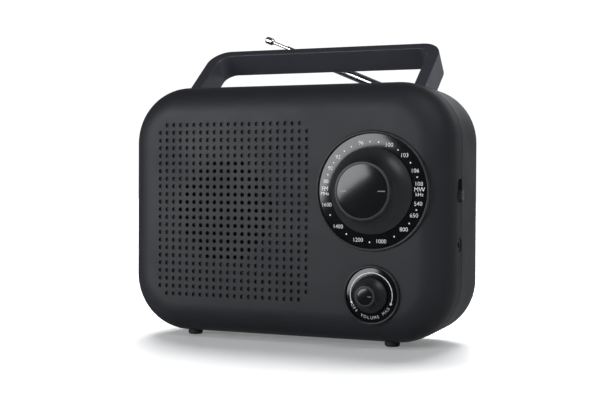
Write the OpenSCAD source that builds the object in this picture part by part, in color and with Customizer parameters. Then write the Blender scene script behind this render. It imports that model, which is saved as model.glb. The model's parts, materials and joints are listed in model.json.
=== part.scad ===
// Tabletop radio with a carry handle, two dials on the front and a telescopic antenna behind.
// X runs across the front, Y runs from front to back, Z is up.
// The origin is under the middle of the case, on the plane of the feet.

/* [Case] */
// Width of the case
body_w = 204; // [190:1:250]
// Height of the case without its feet
body_h = 148; // [140:1:190]
// Depth of the front shell, up to the seam
front_d = 26; // [25:0.5:32]
// Depth of the rear shell, behind the seam
rear_d = 42; // [40:0.5:56]
// Radius of the case's corners, seen from the front
corner_r = 34; // [28:1:40]
// Radius of the rounded edge round the front face
front_fillet = 18; // [8:0.5:20]
// Radius of the rounded edge round the rear face
rear_fillet = 10; // [5:0.5:12]
// Draft of the rear shell's sides, in degrees
draft = 2; // [0:0.25:4]
// Wall thickness of both shells
wall = 2.4; // [2:0.1:3]
// Shadow gap at the seam between the shells
seam_gap = 0.6; // [0.2:0.1:0.8]
// Height of the feet
foot_h = 2.6; // [2:0.1:6]
// Radius of the feet
foot_r = 4.4; // [3:0.1:6]
// Half the distance between the left and right feet
foot_x = 64; // [50:1:66]

/* [Grille] */
// Distance between neighbouring grille holes
grille_pitch = 4.6; // [4:0.1:5]
// Number of columns of grille holes
grille_cols = 22; // [16:1:24]
// Number of rows of grille holes
grille_rows = 23; // [17:1:25]
// Diameter of a grille hole
grille_hole_d = 2.4; // [1.6:0.1:3]
// Depth of the grille holes that are blind
dimple_depth = 1.2; // [0.6:0.1:1.6]
// Place of the grille's middle, left of the case's middle
grille_x = -30.2; // [-40:0.1:-28]

/* [Speaker] */
// Radius of the speaker's flange
speaker_r = 38.5; // [34:0.5:40]
// Radius of the round field of open grille holes
open_r = 30.5; // [24:0.5:32]
// Distance from the speaker's front edge to the back of its magnet
speaker_d = 26; // [24:0.5:28]

/* [Tuning dial] */
// Place of the tuning dial, right of the case's middle
dial_x = 58; // [50:1:62]
// Place of the tuning dial, above the case's middle
dial_z = 12.2; // [4:0.1:16]
// Outer radius of the bezel round the tuning scale
dial_bezel_r = 33.7; // [30:0.1:36]
// Outer radius of the tuning knob's skirt
knob_r = 24.2; // [18:0.1:26]
// Radius of the tuning knob's top
knob_top_r = 16.4; // [12:0.1:18]
// Distance that the tuning knob stands in front of the face
knob_h = 16; // [12:0.5:20]
// Radius of the hollow between the tuning knob's skirt and its top
knob_flare_r = 14; // [12:0.5:20]

/* [Volume dial] */
// Place of the volume dial, below the case's middle
volume_z = 46; // [44:0.5:48]
// Outer radius of the bezel round the volume scale
volume_bezel_r = 16.7; // [14:0.1:18]
// Outer radius of the volume knob's skirt
volume_knob_r = 9.8; // [8:0.1:12]
// Radius of the volume knob's top
volume_top_r = 6.1; // [5:0.1:7]
// Distance that the volume knob stands in front of the face
volume_h = 11; // [9:0.5:14]
// Radius of the hollow between the volume knob's skirt and its top
volume_flare_r = 8; // [7:0.5:12]
// Radius of the spindles of both dials
spindle_r = 3; // [2.5:0.1:3.2]

/* [Side] */
// Place of the band switch's knob at rest, above the case's middle
switch_z = 10.1; // [6:0.1:12]
// Travel of the band switch
switch_travel = 5; // [3:0.5:6]
// Length of the band switch's knob
switch_l = 6.2; // [4:0.1:7]
// Distance that the band switch's knob stands out of the side
switch_out = 2; // [1:0.1:3]
// Place of the headphone socket, below the case's middle
jack_z = 18; // [14:1:22]
// Radius of the headphone socket's bore
jack_bore_r = 1.8; // [1.78:0.01:1.85]

/* [Handle] */
// Half the width of the handle, outside
handle_half_w = 78; // [74:0.5:79]
// Width of the handle's strap
handle_strap = 15.2; // [12:0.1:16]
// Thickness of the handle's grip
grip_t = 5.2; // [4:0.1:7]
// Thickness of the handle's arms
arm_t = 7.3; // [5:0.1:8]
// Length from the handle's pivot to the top of its grip
handle_l = 46.4; // [42:0.1:60]
// Radius of the handle's outer corners
handle_corner_r = 13; // [10:0.5:20]
// Lean of the handle at rest, behind upright, in degrees
handle_lean = 50.5; // [45:0.5:51]
// Radius of the handle's pivot pins
handle_pin_r = 2; // [1.5:0.1:2.5]

/* [Antenna] */
// Place of the antenna's swivel, right of the case's middle
antenna_x = 76; // [70:1:78]
// Place of the antenna's swivel, above the case's middle
antenna_z = 58.7; // [50:0.1:60]
// Rise of the antenna at rest, in degrees
antenna_rise = 22.55; // [10:0.05:30]
// Outer diameter of the antenna's widest tube
antenna_d = 6; // [5.8:0.1:6.4]
// Wall of each antenna tube
antenna_wall = 0.45; // [0.35:0.05:0.5]
// Length of the antenna's widest tube
antenna_l = 88.4; // [70:0.1:100]
// Length of the antenna's tip
tip_l = 6; // [4:0.5:8]

/* [Battery bay] */
// Length of one cell
cell_l = 50; // [49:0.5:51]
// Diameter of one cell
cell_d = 26.2; // [25:0.1:27]
// Space at each end of a row of cells for its contacts
contact_gap = 3; // [2.5:0.5:4]
// Middle of the battery bay, left of the case's middle
bay_x = -5; // [-12:1:-2]

/* [Board] */
// Distance from the front face to the circuit board
board_y = 28; // [28:0.5:30]
// Thickness of the circuit board
board_t = 1.6; // [1:0.1:2]

/* [Hidden] */

$fn = 64;
eps = 1;                 // overshoot of a cut beyond the surface it opens
fit = 0.05;              // radial clearance of a part that turns or slides
seat = 0.1;              // clearance round a part that is only seated
arc_steps = 16;          // flats in a quarter round of the case's edges
case_d = front_d + rear_d;
half_w = body_w / 2;
half_h = body_h / 2;
core_x = half_w - corner_r;   // the corners' centres
core_z = half_h - corner_r;
taper = tan(draft);
rear_inner = case_d - wall;   // inner side of the rear wall

// Screws and bosses of the case
boss_r = 4.5;
boss_x = half_w - 12;
boss_top = half_h - 32;
boss_low = -half_h + 28;
screw_r = 1.45;
screw_head_r = 3;
screw_head_h = 2;
pilot_r = 1.5;
screw_seat_y = front_d + 6;   // where the heads of the case's screws sit
screw_bite = 10;              // length of a case screw in the front shell

// Dials
groove = 1;                   // depth of the dials' pockets in the face
bead_w = 1.4;                 // width of a bezel's bead
bead_h = 1.5;                 // height of a bezel's bead above the face
ring_gap = 0.25;              // gap between a bezel and its scale
knob_gap = 0.3;               // gap between a knob and its scale
scale_h = 1.2;                // height of a scale at its inner edge
scale_edge = 0.4;             // height of a scale at its outer edge
cap_inset = 1.5;              // width of the rim round a knob's cap
cap_t = 1.2;                  // thickness of a knob's cap
cap_dome = 0.095;             // rise of a knob's cap, as a part of its radius
hub_r = 5.2;
shaft_hole_r = spindle_r + 1.2;

// Speaker
speaker_x = grille_x - grille_pitch;
cloth_t = 0.4;
gasket_t = 1;
flange_t = 1;
flange_y = wall + cloth_t + gasket_t;
cone_r = speaker_r - 8;
roll_r = 1.75;
coil_r = 9;
basket_r = 23;
magnet_y = flange_y + speaker_d * 0.6;   // front of the magnet
clamp_r = speaker_r + 5;
clamp_t = 1.2;
clamp_angles = [90, 210, 330];

// Band switch
switch_y = 22.2;              // middle of the switch, behind the face
switch_w = 3.6;
notch_w = 7.6;
notch_margin = 1;
notch_corner = 3;
notch_low = switch_z - switch_l / 2 - notch_margin;
notch_high = switch_z + switch_l / 2 + switch_travel + notch_margin;

// Headphone socket
jack_y = 22;
jack_ring_r = 3.95;

// Handle
lug_r = handle_strap / 2 + 0.2;   // the lugs are a little wider than the strap
lug_proud = 0.2;                  // and stand a little proud of its sides
pivot_y = front_d + seam_gap + wall / 2 + lug_r + 0.4;
pivot_z = half_h - 8.3;
handle_play = 0.5;
slot_x0 = handle_half_w - arm_t - handle_play;
slot_x1 = handle_half_w + handle_play;
slot_y0 = pivot_y - lug_r - 0.4;
slot_z0 = pivot_z - lug_r - 0.4;
lean_u = (half_h - pivot_z - 0.2) / cos(handle_lean);
slot_y1 = pivot_y + lean_u * sin(handle_lean) + handle_strap / 2 / cos(handle_lean) + 0.4;
pocket_wall = 1.6;

// Antenna
antenna_y = case_d + 12;      // the antenna's plane
swivel_r = 6.5;
swivel_pad = 3;               // height of the boss that the swivel turns on
swivel_t = 2;
cheek_t = 1.5;
tang_t = 2.4;
hinge_r = 3;
tube_start = hinge_r + 0.6;
tube_step = 2 * (antenna_wall + fit);
tube_plug = 3;
tube_out = [0, 7, 7, 10.2, 10.5];   // how far each section stands out of the one before it at rest
section_step = 2;             // each inner section is shorter than the one round it

// Battery bay
bay_l = 2 * cell_l + 2 * contact_gap;
bay_h = 2 * cell_d + 3.6;
bay_z = -half_h + 16;         // lower side of the bay
bay_y = rear_inner - cell_d - 1.4;
bay_wall = 3;
door_lap = 2;                 // how far the door laps over the bay's walls
door_gap = 0.3;
door_tab_w = 30;

// Board and its parts
board_x0 = dial_x - 44;
board_x1 = dial_x + 26;
board_z0 = -half_h + 10;
board_z1 = half_h - 20;
tab_x = half_w - wall - 2.1;
post_r = 3.2;
posts = [for (x = [board_x0 + 5, board_x1 - 5]) for (z = [board_z0 + 6, board_z1 - 16]) [x, z]];
small_screw_r = 1.2;
rod_r = 4;
rod_y = 18;
rod_z = board_z1 - 5;

// Mains inlet and transformer
inlet_x = 69;
inlet_z = -10;
inlet_w = 22;
inlet_h = 12;
inlet_d = 21;
inlet_lobe_r = 4.2;
inlet_pin_gap = 8.6;
core_w = 30;
core_h = 25;
core_t = 12;
core_leg = 5;
core_mid_x = inlet_x + 0.5;
core_mid_z = -45.5;
core_y = case_d - 24;

function arc(cx, cy, r, a0, a1, n = arc_steps) =
    [for (i = [0:n]) let (a = a0 + (a1 - a0) * i / n) [cx + r * cos(a), cy + r * sin(a)]];

// Everything is laid out in the case's own frame: X across, Y behind the face, Z from the middle.
module case_frame() translate([0, -case_d / 2, foot_h + half_h]) children();

// A round piece on an axis that points out of the front, and one that points out of the back
module facing_front(x, z, y = 0) translate([x, y, z]) rotate([90, 0, 0]) children();
module facing_back(x, z, y = 0) translate([x, y, z]) rotate([-90, 0, 0]) children();
module facing_right(x, y, z) translate([x, y, z]) rotate([0, 90, 0]) children();
module turned() rotate_extrude($fn = 96) children();
module box(lo, hi) translate(lo) cube(hi - lo);

// A solid with a rounded rectangular outline, whose edge follows the profile in child 0.
// The profile's x is measured outwards from the corners' centres, and its y is the depth.
module swept(y0, y1) {
    rotate([-90, 0, 0]) {
        translate([-core_x, -core_z, y0]) cube([2 * core_x, 2 * core_z, y1 - y0]);
        for (s = [0, 180]) rotate([0, 0, s]) {
            translate([core_x, 0, 0]) rotate([90, 0, 0])
                linear_extrude(2 * core_z, center = true) children();
            translate([0, core_z, 0]) rotate([0, 0, 90]) rotate([90, 0, 0])
                linear_extrude(2 * core_x, center = true) children();
            translate([core_x, core_z, 0]) rotate_extrude(angle = 90, $fn = 96) children();
            translate([-core_x, core_z, 0]) rotate_extrude(angle = 90, start = 90, $fn = 96) children();
        }
    }
}

// The front shell's outer form, shrunk by inset, from its face to y1
module front_form(inset, y1) {
    r = front_fillet - inset;
    reach = corner_r - front_fillet;
    swept(inset, y1) polygon(concat(
        [[0, inset]],
        arc(reach, front_fillet, r, -90, 0),
        [[reach + r, y1], [0, y1]]));
}

// The rear shell's outer form, shrunk by inset, from y0 to its rear face
module rear_form(inset, y0) {
    r = rear_fillet - inset;
    side_at_seam = corner_r - inset / cos(draft);
    mid_y = case_d - rear_fillet;
    mid_x = side_at_seam - (mid_y - front_d) * taper - r / cos(draft);
    swept(y0, case_d - inset) polygon(concat(
        [[0, y0], [side_at_seam - (y0 - front_d) * taper, y0]],
        arc(mid_x, mid_y, r, draft, 90),
        [[0, case_d - inset]]));
}

function boss_places() = [for (sx = [-1, 1]) for (z = [boss_low, boss_top]) [sx * boss_x, z]];

// Feet: each is seated in a shallow recess under the shells
foot_seat = 1.2;
foot_round = 1.3;
rear_foot_x = foot_x - 5;
function foot_places() = [for (sx = [-1, 1]) [sx * foot_x, front_d - 8, 0]];
function rear_foot_y() = front_d + rear_d * 0.62;
function rear_foot_rise() = (rear_foot_y() - front_d) * taper;

module foot(x, y, rise) {
    top = foot_seat + rise;
    translate([x, y, -half_h - foot_h]) turned() polygon(concat(
        [[0, 0]], arc(foot_r - foot_round, foot_round, foot_round, -90, 0),
        [[foot_r, foot_h + top], [0, foot_h + top]]));
}

module foot_recess(x, y, rise) {
    translate([x, y, -half_h - eps]) cylinder(r = foot_r + fit, h = eps + foot_seat + rise);
}

function open_hole(col, row) =
    norm([(col - (grille_cols - 1) / 2 + 1) * grille_pitch, (row - (grille_rows - 1) / 2) * grille_pitch])
    < open_r;
function corner_hole(col, row) =
    (col == 0 || col == grille_cols - 1) && (row == 0 || row == grille_rows - 1);

module grille_holes() {
    for (col = [0:grille_cols - 1]) for (row = [0:grille_rows - 1]) if (!corner_hole(col, row)) {
        x = grille_x + (col - (grille_cols - 1) / 2) * grille_pitch;
        z = (row - (grille_rows - 1) / 2) * grille_pitch;
        deep = open_hole(col, row) ? wall + 0.6 : dimple_depth;
        facing_front(x, z, deep) cylinder(d = grille_hole_d, h = deep + eps, $fn = 20);
    }
}

module front_posts() {
    for (p = boss_places()) facing_back(p.x, p.y) cylinder(r = boss_r, h = front_d);
    for (p = posts) facing_back(p.x, p.y) cylinder(r = post_r, h = board_y);
    facing_back(speaker_x, 0) difference() {
        cylinder(r = speaker_r + 2, h = flange_y + flange_t + 1);
        cylinder(r = speaker_r + 0.5, h = case_d);
        for (a = clamp_angles) rotate([0, 0, -a]) translate([speaker_r - 2, -5, 0]) cube([8, 10, case_d]);
    }
    for (a = clamp_angles) facing_back(speaker_x + clamp_r * cos(a), clamp_r * sin(a))
        cylinder(r = post_r, h = flange_y + flange_t);
}

module front_case() color("#3a3b3f") case_frame() {
    difference() {
        union() {
            difference() {
                front_form(0, front_d);
                front_form(wall, front_d + eps);
            }
            intersection() {
                front_form(wall / 2, board_y + eps);
                front_posts();
            }
        }
        grille_holes();
        facing_front(dial_x, dial_z, groove) cylinder(r = dial_bezel_r + fit, h = groove + eps);
        facing_front(dial_x, -volume_z, groove) cylinder(r = volume_bezel_r + fit, h = groove + eps);
        for (z = [dial_z, -volume_z]) facing_front(dial_x, z, wall + eps)
            cylinder(r = shaft_hole_r, h = wall + 2 * eps);
        for (p = boss_places()) facing_back(p.x, p.y, front_d - screw_bite - 2)
            cylinder(r = pilot_r, h = screw_bite + 2 + eps);
        for (p = posts) facing_back(p.x, p.y, board_y - 9)
            cylinder(r = small_screw_r + fit, h = 9 + eps);
        for (a = clamp_angles)
            facing_back(speaker_x + clamp_r * cos(a), clamp_r * sin(a), wall + 0.4)
            cylinder(r = small_screw_r + fit, h = 9);
        translate([half_w - wall - 2, 0, 0]) rotate([90, 0, 90]) linear_extrude(wall + 2 + eps)
            polygon(concat(
                [[front_d + eps, notch_low], [front_d + eps, notch_high]],
                arc(front_d - notch_w + notch_corner, notch_high - notch_corner, notch_corner, 90, 180),
                arc(front_d - notch_w + notch_corner, notch_low + notch_corner, notch_corner, 180, 270)));
        facing_right(half_w - wall - eps, jack_y, -jack_z)
            cylinder(r = jack_ring_r + seat, h = wall + 2 * eps);
        for (p = foot_places()) foot_recess(p.x, p.y, 0);
    }
}

// The tongue of the rear shell that enters the front shell, and the root that joins it to the wall
tongue_t = 1.2;
tongue_l = 3;
module rear_tongue() {
    back = front_d + seam_gap + 2;
    difference() {
        union() {
            front_form(wall + seat, back);
            intersection() {
                front_form(wall / 2, back);
                box([-half_w, front_d + seam_gap, -half_h], [half_w, back, half_h]);
            }
        }
        front_form(wall + seat + tongue_t, back + eps);
        box([-half_w, -eps, -half_h], [half_w, front_d - tongue_l, half_h]);
        box([half_w - 20, 0, notch_low - 1], [half_w, front_d + eps, notch_high + 1]);
        facing_right(half_w - 12, jack_y, -jack_z) cylinder(r = jack_ring_r + 3, h = 20);
        for (p = boss_places()) facing_back(p.x, p.y) cylinder(r = boss_r + 0.4, h = front_d);
    }
}

module handle_pocket(sx, grow) {
    box([min(sx * slot_x0, sx * slot_x1) - grow, slot_y0 - grow, slot_z0 - grow],
        [max(sx * slot_x0, sx * slot_x1) + grow, slot_y1 + grow, half_h + eps]);
}

module rear_posts() {
    for (p = boss_places()) facing_back(p.x, p.y, front_d + seam_gap) cylinder(r = boss_r, h = rear_d);
    for (sx = [-1, 1]) intersection() {
        handle_pocket(sx, pocket_wall);
        box([-half_w, front_d + seam_gap, 0], [half_w, case_d, half_h]);
    }
    pin_half_l = slot_x1 - slot_x0 + 1;
    for (sx = [-1, 1]) facing_right(sx * (handle_half_w - arm_t / 2) - pin_half_l, pivot_y, pivot_z)
        cylinder(r = handle_pin_r + 2.4, h = 2 * pin_half_l);
    box([bay_x - bay_l / 2 - bay_wall, bay_y - 2, bay_z - bay_wall],
        [bay_x + bay_l / 2 + bay_wall, case_d, bay_z + bay_h + bay_wall]);
    facing_back(antenna_x, antenna_z, rear_inner - 1) cylinder(r = swivel_r, h = 2);
    for (p = transformer_holes()) facing_back(p.x, p.y, core_y + core_t)
        cylinder(r = post_r, h = case_d);
}

function transformer_holes() = [for (s = [-1, 1])
    [core_mid_x + s * (core_w - core_leg) / 2, core_mid_z - s * (core_h - core_leg) / 2]];

module rear_case() color("#45464a") case_frame() {
    difference() {
        union() {
            difference() {
                rear_form(0, front_d + seam_gap);
                rear_form(wall, front_d - eps);
            }
            rear_tongue();
            intersection() {
                rear_form(wall / 2, front_d + seam_gap);
                rear_posts();
            }
            facing_back(antenna_x, antenna_z, case_d - wall)
                cylinder(r = swivel_r + 0.5, h = wall + swivel_pad);
        }
        for (p = boss_places()) {
            facing_back(p.x, p.y, screw_seat_y) cylinder(r = screw_head_r + 0.3, h = case_d);
            facing_back(p.x, p.y, front_d - 1) cylinder(r = screw_r + 0.2, h = 20);
        }
        for (sx = [-1, 1]) handle_pocket(sx, 0);
        for (sx = [-1, 1])
            facing_right(sx * (handle_half_w - arm_t / 2) - handle_pin_l() / 2 - seat, pivot_y, pivot_z)
            cylinder(r = handle_pin_r + 0.03, h = handle_pin_l() + 2 * seat);
        box([bay_x - bay_l / 2, bay_y, bay_z], [bay_x + bay_l / 2, case_d + eps, bay_z + bay_h]);
        box([bay_x - bay_l / 2 - door_lap - door_gap, rear_inner - 0.1, bay_z - door_lap - door_gap],
            [bay_x + bay_l / 2 + door_lap + door_gap, case_d + eps, bay_z + bay_h + door_lap + door_gap]);
        box([bay_x - door_tab_w / 2 - 2, rear_inner - 0.1, bay_z + bay_h],
            [bay_x + door_tab_w / 2 + 2, case_d + eps, bay_z + bay_h + bay_wall + 4]);
        box([inlet_x - inlet_w / 2 - seat, rear_inner - eps, inlet_z - inlet_h / 2 - seat],
            [inlet_x + inlet_w / 2 + seat, case_d + eps, inlet_z + inlet_h / 2 + seat]);
        facing_back(antenna_x, antenna_z, rear_inner - 2) cylinder(r = spindle_r + fit, h = 12);
        for (p = transformer_holes()) facing_back(p.x, p.y, core_y)
            cylinder(r = small_screw_r + fit, h = core_t + 6);
        for (sx = [-1, 1]) foot_recess(sx * rear_foot_x, rear_foot_y(), rear_foot_rise());
    }
}

module battery_door() color("#424347") case_frame() {
    x0 = bay_x - bay_l / 2 - door_lap;
    x1 = bay_x + bay_l / 2 + door_lap;
    z0 = bay_z - door_lap;
    z1 = bay_z + bay_h + door_lap;
    difference() {
        union() {
            box([x0, rear_inner, z0], [x1, case_d, z1]);
            box([bay_x - door_tab_w / 2, rear_inner, z1 - 1], [bay_x + door_tab_w / 2, case_d, z1 + 4]);
            for (z = [bay_z + 0.6, bay_z + bay_h - 2])
                box([bay_x - bay_l / 2 + 8, rear_inner - 1.2, z],
                    [bay_x + bay_l / 2 - 8, rear_inner, z + 1.4]);
        }
        for (i = [0:4])
            box([bay_x - door_tab_w / 2 + 5, case_d - 0.7, z1 - 4 - i * 2.4],
                [bay_x + door_tab_w / 2 - 5, case_d + eps, z1 - 2.8 - i * 2.4]);
    }
}

module case_screws() color("#8c8f94") case_frame()
    for (p = boss_places()) difference() {
        union() {
            facing_back(p.x, p.y, screw_seat_y) cylinder(r = screw_head_r, h = screw_head_h);
            facing_back(p.x, p.y, front_d - screw_bite) cylinder(r = screw_r, h = screw_bite + 6.1);
        }
        for (a = [0, 90]) translate([p.x, screw_seat_y + screw_head_h, p.y]) rotate([0, a, 0])
            cube([3.6, 2, 0.7], center = true);
    }

module rubber_feet() color("#18181a") case_frame() {
    for (p = foot_places()) foot(p.x, p.y, 0);
    for (sx = [-1, 1]) foot(sx * rear_foot_x, rear_foot_y(), rear_foot_rise());
}

function handle_pin_l() = arm_t + 2 * handle_play + 2.8;

module handle_outline() {
    w = handle_half_w;
    inner_r = 8;
    polygon(concat(
        [[w, 0]],
        arc(w - handle_corner_r, handle_l - handle_corner_r, handle_corner_r, 0, 90),
        arc(-w + handle_corner_r, handle_l - handle_corner_r, handle_corner_r, 90, 180),
        [[-w, 0], [-w + arm_t, 0]],
        arc(-w + arm_t + inner_r, handle_l - grip_t - inner_r, inner_r, 180, 90),
        arc(w - arm_t - inner_r, handle_l - grip_t - inner_r, inner_r, 90, 0),
        [[w - arm_t, 0]]));
}

module carry_handle() color("#37383c") case_frame() translate([0, pivot_y, pivot_z])
    difference() {
        union() {
            rotate([90 - handle_lean, 0, 0]) linear_extrude(handle_strap, center = true) handle_outline();
            for (x = [-handle_half_w, handle_half_w - arm_t]) facing_right(x - lug_proud, 0, 0)
                cylinder(r = lug_r, h = arm_t + 2 * lug_proud);
        }
        for (x = [-handle_half_w, handle_half_w - arm_t]) facing_right(x - lug_proud - eps, 0, 0)
            cylinder(r = handle_pin_r + fit, h = arm_t + 2 * lug_proud + 2 * eps);
    }

module handle_pins() color("#9a9da2") case_frame()
    for (sx = [-1, 1])
        facing_right(sx * (handle_half_w - arm_t / 2) - handle_pin_l() / 2, pivot_y, pivot_z)
        cylinder(r = handle_pin_r, h = handle_pin_l());

// A bezel's ring: a bead on a flat band that sits in the face's pocket
module bezel(x, z, r) case_frame() facing_front(x, z, groove) turned()
    polygon(concat(
        [[r - bead_w, 0], [r, 0]],
        arc(r - bead_w / 2, groove + bead_h - bead_w / 2, bead_w / 2, 0, 180)));

module dial_bezel() color("#2f3034") bezel(dial_x, dial_z, dial_bezel_r);
module volume_bezel() color("#2f3034") bezel(dial_x, -volume_z, volume_bezel_r);

// A scale: a low dome inside the bezel, round the spindle, steepest at its rim
scale_steps = 6;
module scale_ring(x, z, r_out, r_in, hole_r) case_frame() facing_front(x, z, groove) turned()
    polygon(concat(
        [[hole_r, 0], [r_out, 0]],
        [for (i = [0:scale_steps]) let (out = 1 - i / scale_steps)
            [r_in + (r_out - r_in) * out, groove + scale_h - (scale_h - scale_edge) * pow(out, 1.6)]],
        [[hole_r, groove + scale_h]]));

module dial_scale() color("#101012")
    scale_ring(dial_x, dial_z, dial_bezel_r - bead_w - ring_gap, knob_r - 0.5, hub_r + 1.5);
module volume_scale() color("#101012")
    scale_ring(dial_x, -volume_z, volume_bezel_r - bead_w - ring_gap, volume_knob_r - 0.5, hub_r);

// A knob: a skirt that flares into a raised top with a seat for its cap, hollow behind, on a hub
module knob_body(base_r, top_r, h, flare_r, hub) {
    low = scale_h + knob_gap;
    difference() {
        turned() {
            intersection() {
                translate([0, low]) square([base_r, h - low]);
                difference() {
                    square([top_r + flare_r, h - 1]);
                    translate([top_r + flare_r, h - 1]) circle(r = flare_r, $fn = 96);
                }
            }
            translate([0, h - 1.2]) polygon(concat([[0, 0]], [[top_r, 0]],
                arc(top_r - 0.5, 0.7, 0.5, 0, 90, 4), [[0, 1.2]]));
        }
        translate([0, 0, h - cap_t]) cylinder(r = top_r - cap_inset, h = cap_t + eps);
        difference() {
            cylinder(r = top_r - 2, h = h - cap_t - 1.6);
            cylinder(r = hub, h = h);
        }
        cylinder(r = spindle_r + 0.03, h = h - cap_t - 2);
    }
}

module knob_cap(top_r, h) turned() {
    r = top_r - cap_inset - seat;
    rise = r * cap_dome;
    dome_r = (r * r + rise * rise) / (2 * rise);
    polygon(concat([[0, h - cap_t], [r, h - cap_t]],
        arc(0, h + rise - dome_r - 0.2, dome_r, 90 - asin(r / dome_r), 90, 8)));
}

module tuning_knob() color("#2c2d30") case_frame()
    facing_front(dial_x, dial_z) knob_body(knob_r, knob_top_r, knob_h, knob_flare_r, hub_r);
module tuning_knob_cap() color("#151517") case_frame()
    facing_front(dial_x, dial_z) knob_cap(knob_top_r, knob_h);
module volume_knob() color("#2c2d30") case_frame() facing_front(dial_x, -volume_z)
    knob_body(volume_knob_r, volume_top_r, volume_h, volume_flare_r, volume_top_r - 2);
module volume_knob_cap() color("#151517") case_frame()
    facing_front(dial_x, -volume_z) knob_cap(volume_top_r, volume_h);

// Tuning capacitor: fixed plates in a clear box, and a spindle with the moving plates
cap_box = 20;
cap_y = board_y - 14;
vane_r = 8;
vane_pitch = 2.6;
vane_t = 0.5;
module tuning_capacitor() color("#c9cbd0") case_frame() {
    difference() {
        union() {
            box([dial_x - cap_box / 2, cap_y, dial_z - cap_box / 2],
                [dial_x + cap_box / 2, board_y, dial_z + cap_box / 2]);
            facing_front(dial_x, dial_z, cap_y) cylinder(r = hub_r, h = 3);
        }
        box([dial_x - vane_r - 0.5, cap_y + 2, dial_z - vane_r - 0.5],
            [dial_x + vane_r + 0.5, board_y - 1.5, dial_z + vane_r + 0.5]);
        facing_front(dial_x, dial_z, cap_y + 2 + eps) cylinder(r = spindle_r + fit, h = 8);
    }
    for (i = [0:2])
        box([dial_x - vane_r - 0.5, cap_y + 4.6 + i * vane_pitch, dial_z - vane_r - 0.5],
            [dial_x + vane_r + 0.5, cap_y + 4.6 + i * vane_pitch + vane_t, dial_z - 2.4]);
}

module tuning_spindle() color("#b8a070") case_frame() {
    facing_front(dial_x, dial_z, cap_y + 2.4)
        cylinder(r = spindle_r, h = cap_y + 2.4 + knob_h - cap_t - 2.4);
    facing_front(dial_x, dial_z, board_y - 1.8) cylinder(r = 1.8, h = board_y - cap_y - 4.1);
    for (i = [0:2]) facing_front(dial_x, dial_z, cap_y + 4 + i * vane_pitch) intersection() {
        cylinder(r = vane_r, h = vane_t);
        translate([-vane_r, -1, 0]) cube([2 * vane_r, 2 * vane_r, vane_t]);
    }
}

// Volume control: a round pot, and its spindle with the wiper
pot_r = 8.5;
pot_y = board_y - 11;
module volume_control() color("#8d9094") case_frame() difference() {
    union() {
        facing_front(dial_x, -volume_z, board_y) cylinder(r = pot_r, h = board_y - pot_y);
        facing_front(dial_x, -volume_z, pot_y) cylinder(r = hub_r - 1, h = 5);
    }
    facing_front(dial_x, -volume_z, board_y - 2) cylinder(r = pot_r - 1, h = 6);
    facing_front(dial_x, -volume_z, board_y - 4) cylinder(r = spindle_r + fit, h = 20);
}

module volume_spindle() color("#b8bbc0") case_frame() {
    facing_front(dial_x, -volume_z, board_y - 2.4)
        cylinder(r = spindle_r, h = board_y - 2.4 + volume_h - cap_t - 2.4);
    facing_front(dial_x, -volume_z, board_y - 4) cylinder(r = pot_r - 1.6, h = 1.2);
}

// Band switch: its box on the board, and the slider that stands out of the case's side
switch_box_x = half_w - wall - 2.6;
module band_switch() color("#b9bcc0") case_frame() difference() {
    box([switch_box_x - 9, switch_y - 3, notch_low - 1.4], [switch_box_x, board_y, notch_high + 1.4]);
    box([switch_box_x - 5.2, switch_y - 2.2, notch_low + 0.2],
        [switch_box_x - 1, switch_y + 2.2, notch_high - 0.2]);
    box([switch_box_x - 2, switch_y - 1.4, notch_low + 0.7],
        [switch_box_x + eps, switch_y + 1.4, notch_high - 0.7]);
}

// A block along X between two heights, with the edges along X rounded
module tab(x0, x1, y, w, low, high, r) translate([x0, y, 0]) rotate([90, 0, 90]) linear_extrude(x1 - x0)
    polygon(concat(
        arc(w / 2 - r, high - r, r, 0, 90), arc(r - w / 2, high - r, r, 90, 180),
        arc(r - w / 2, low + r, r, 180, 270), arc(w / 2 - r, low + r, r, 270, 360)));

switch_corner = 1.4;
module band_switch_slider() color("#1d1d1f") case_frame() {
    low = switch_z - switch_l / 2;
    high = switch_z + switch_l / 2;
    box([switch_box_x - 5, switch_y - 2, low], [switch_box_x - 1.2, switch_y + 2, high]);
    box([switch_box_x - 1.3, switch_y - 1.2, low + 0.2], [switch_box_x + 0.9, switch_y + 1.2, high - 0.2]);
    difference() {
        tab(switch_box_x + 0.8, half_w + switch_out, switch_y, switch_w, low, high, switch_corner);
        for (i = [-1:1]) box([half_w + switch_out - 0.5, switch_y - switch_w, switch_z + i * 1.6 - 0.35],
            [half_w + switch_out + eps, switch_y + switch_w, switch_z + i * 1.6 + 0.35]);
    }
}

module headphone_jack() color("#1b1b1d") case_frame() difference() {
    union() {
        box([half_w - wall - 15.6, jack_y - 5, -jack_z - 5.5], [half_w - wall - 1.6, board_y, -jack_z + 5.5]);
        facing_right(half_w - wall - 2, jack_y, -jack_z) cylinder(r = jack_ring_r, h = wall + 1.4);
    }
    facing_right(half_w - 15, jack_y, -jack_z) cylinder(r = jack_bore_r, h = 20);
}

module speaker_cloth() color("#0c0c0d") case_frame()
    facing_back(speaker_x, 0, wall) cylinder(r = speaker_r, h = cloth_t);

module speaker_gasket() color("#1c1c1e") case_frame() facing_back(speaker_x, 0, wall + cloth_t)
    difference() {
        cylinder(r = speaker_r, h = gasket_t);
        translate([0, 0, -eps]) cylinder(r = speaker_r - 4.2, h = gasket_t + 2 * eps);
    }

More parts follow.
